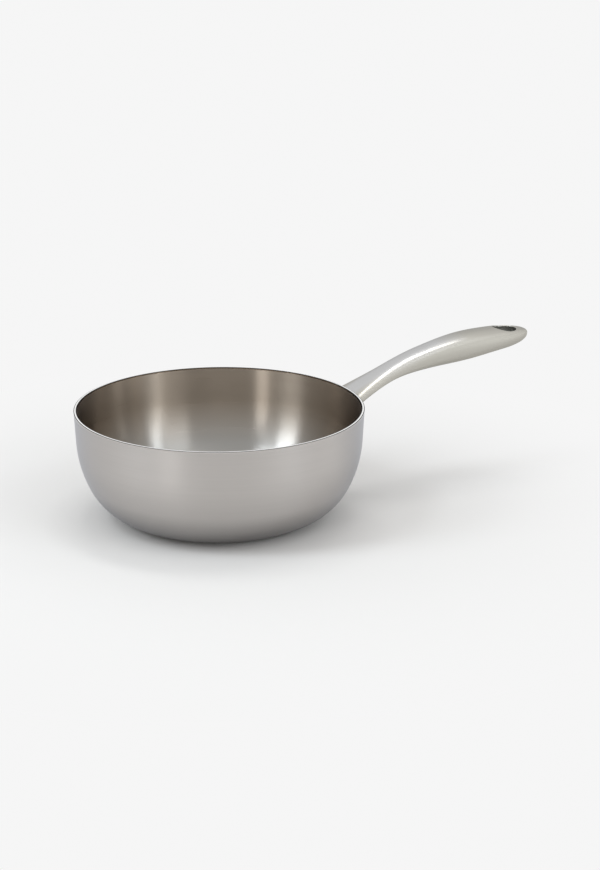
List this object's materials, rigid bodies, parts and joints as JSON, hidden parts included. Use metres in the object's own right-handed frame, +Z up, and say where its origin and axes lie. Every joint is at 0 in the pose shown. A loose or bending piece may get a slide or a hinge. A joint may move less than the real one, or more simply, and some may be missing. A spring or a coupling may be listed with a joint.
{
  "type": "saucier pan",
  "caption": "Deep round-bellied saucier pan of clad steel with one long curved hollow handle that ends in a round hanging eye.",
  "frame": {"origin": "centre of the flat face that the pan stands on, on the bowl's axis", "axes": "+Z up along the bowl's axis, +X out along the handle from the bowl to its tip, +Y across the handle"},
  "size_m": [0.3563, 0.2044, 0.1083],
  "materials": {
    "outer_steel": "satin, brushed round the bowl",
    "inner_steel": "satin, brushed round the bowl",
    "rim_steel": "polished edge",
    "handle_steel": "satin, bead blasted and lightly polished",
    "weld_steel": "dressed weld",
    "bond_aluminium": "rolled sheet",
    "core_aluminium": "rolled sheet"
  },
  "bodies": {
    "root": {"cooking_skin": "inner_steel", "inner_bond_sheet": "bond_aluminium", "aluminium_core": "core_aluminium", "outer_bond_sheet": "bond_aluminium", "outer_skin": "outer_steel", "rim_bead": "rim_steel", "handle_upper_shell": "handle_steel", "handle_lower_shell": "handle_steel", "handle_seam_weld": "weld_steel", "handle_root_plug": "weld_steel", "handle_root_weld": "weld_steel", "hanging_eye_sleeve": "handle_steel"}
  },
  "joints": []
}
